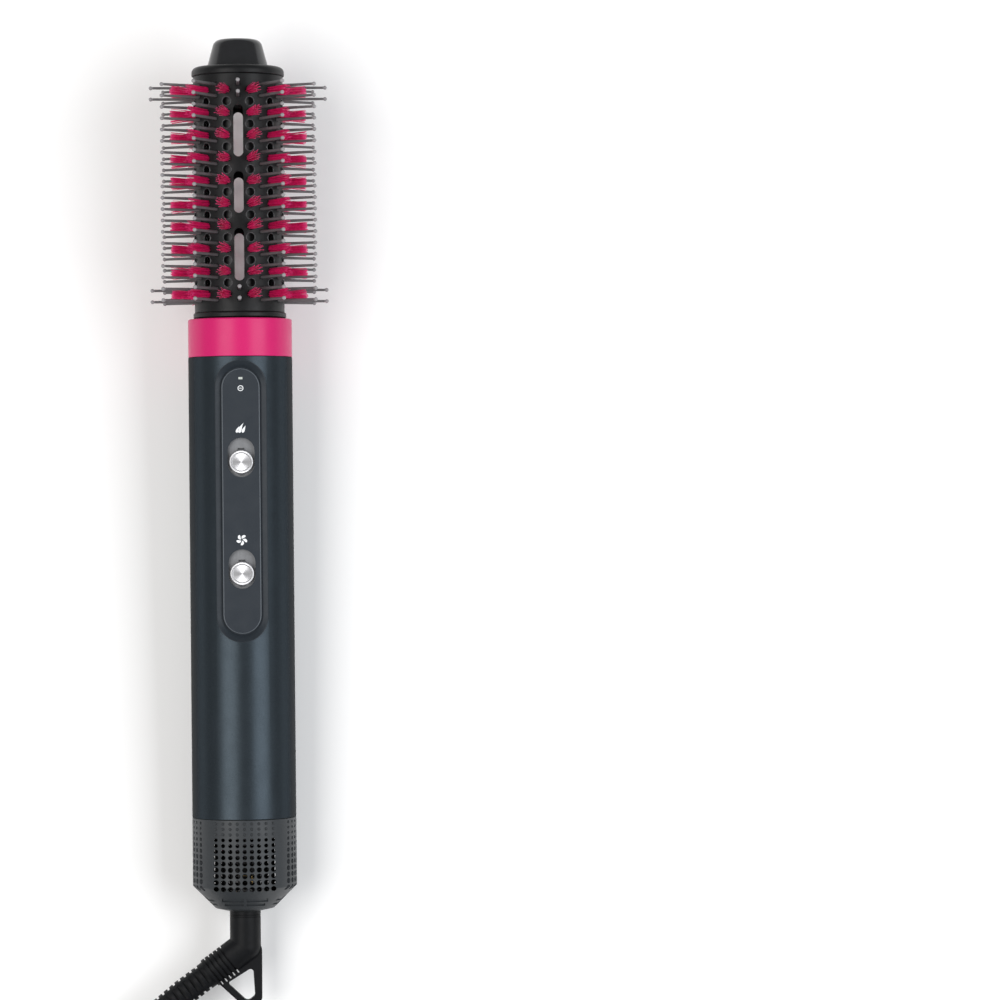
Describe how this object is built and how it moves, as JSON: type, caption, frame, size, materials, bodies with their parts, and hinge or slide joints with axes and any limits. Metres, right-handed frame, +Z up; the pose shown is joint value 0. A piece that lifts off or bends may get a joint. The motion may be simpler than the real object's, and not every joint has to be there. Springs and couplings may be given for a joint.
{
  "type": "hot air brush",
  "caption": "Handheld hot air styler with a ventilated round brush head of ball-tipped pins and bristle tufts, slide controls and a swivel cord.",
  "frame": {"origin": "on the floor under the middle of the tool's length, measured without the cord", "axes": "+Y along the tool from the cord end to the brush tip, +Z up out of the control panel, +X to the right seen from above; the tool lies on its brush pins and the rim of its inlet cap, 3.6 degrees up towards the tip"},
  "size_m": [0.1212, 0.513, 0.0773],
  "materials": {
    "handle_paint": "satin metallic slate paint",
    "cap_plastic": "satin moulded plastic",
    "black_plastic": "fine matte moulding",
    "tip_plastic": "soft gloss",
    "panel_plastic": "satin",
    "bezel_plastic": "satin",
    "accent_pink": "satin",
    "track_silver": "satin",
    "knob_metal": "turned",
    "nylon_grey": "nylon pins",
    "bristle_pink": "bristle bundles",
    "black_rubber": "matte",
    "cord_rubber": "satin cord sheath",
    "lens_clear": "clear",
    "brass": "plain",
    "steel": "plain",
    "zinc_blades": "nickel plated",
    "magnet": "ferrite",
    "winding": "enamelled copper",
    "mica": "mica board",
    "board_green": "circuit board",
    "white_plastic": "plain"
  },
  "bodies": {
    "cord_side": {"swivel_elbow": "black_plastic", "strain_relief": "black_rubber", "swivel_clip": "steel", "contact_pins": "brass", "cord_lead": "cord_rubber", "cord_coil": "cord_rubber", "cord_tail": "cord_rubber", "plug_body": "black_rubber", "plug_blades": "zinc_blades"},
    "handle": {"slip_rings": "brass", "slip_ring_holder": "black_plastic", "swivel_bush": "white_plastic", "inlet_cap": "cap_plastic", "lint_screen": "black_plastic", "handle_tube": "handle_paint", "control_bezel": "bezel_plastic", "control_panel": "panel_plastic", "status_lens": "lens_clear", "slide_tracks": "track_silver", "heat_switch": "black_plastic", "fan_switch": "black_plastic", "board_carrier": "white_plastic", "control_board": "board_green", "board_screws": "steel", "motor_mount": "black_plastic", "motor_can": "steel", "motor_magnets": "magnet", "motor_bearings": "brass", "lower_air_guide": "white_plastic", "upper_air_guide": "white_plastic", "heater_sleeve": "mica", "heater_board": "mica", "heater_coil": "steel", "thermostat": "steel", "thermal_fuse": "steel", "ion_generator": "white_plastic", "inner_leads": "cord_rubber", "accent_ring": "accent_pink", "outlet_socket": "black_plastic", "coupling_retainer": "black_plastic"},
    "heat_knob": {"heat_slider": "knob_metal"},
    "fan_knob": {"fan_slider": "knob_metal"},
    "rotor": {"impeller": "black_plastic", "motor_shaft": "steel", "armature": "winding"},
    "lock_ring": {"coupling_ring": "black_plastic"},
    "brush_head": {"coupling_plug": "black_plastic", "barrel": "black_plastic", "end_pins": "nylon_grey", "pin_strips_front": "nylon_grey", "pin_strips_right": "nylon_grey", "pin_strips_back": "nylon_grey", "pin_strips_left": "nylon_grey", "tufts_front_right": "bristle_pink", "tufts_back_right": "bristle_pink", "tufts_back_left": "bristle_pink", "tufts_front_left": "bristle_pink", "barrel_end_cap": "black_plastic", "cool_tip": "tip_plastic"}
  },
  "joints": [
    {"name": "cord_swivel", "type": "hinge", "parent": "cord_side", "child": "handle", "pos_m": [0, -0.15611, 0.0203], "axis": [0, 0.998, 0.0635], "continuous": true},
    {"name": "heat_slide", "type": "slide", "parent": "handle", "child": "heat_knob", "axis": [0, 0.998, 0.0635], "range_m": [0, 0.004]},
    {"name": "fan_slide", "type": "slide", "parent": "handle", "child": "fan_knob", "axis": [0, 0.998, 0.0635], "range_m": [0, 0.004]},
    {"name": "fan_spin", "type": "hinge", "parent": "handle", "child": "rotor", "pos_m": [0, -0.09624, 0.02411], "axis": [0, 0.998, 0.0635], "continuous": true},
    {"name": "head_twist", "type": "hinge", "parent": "handle", "child": "lock_ring", "pos_m": [0, 0.07342, 0.03491], "axis": [0, 0.998, 0.0635], "range_deg": [0, 30]},
    {"name": "head_pull", "type": "slide", "parent": "lock_ring", "child": "brush_head", "axis": [0, 0.998, 0.0635], "range_m": [0, 0.03]}
  ]
}
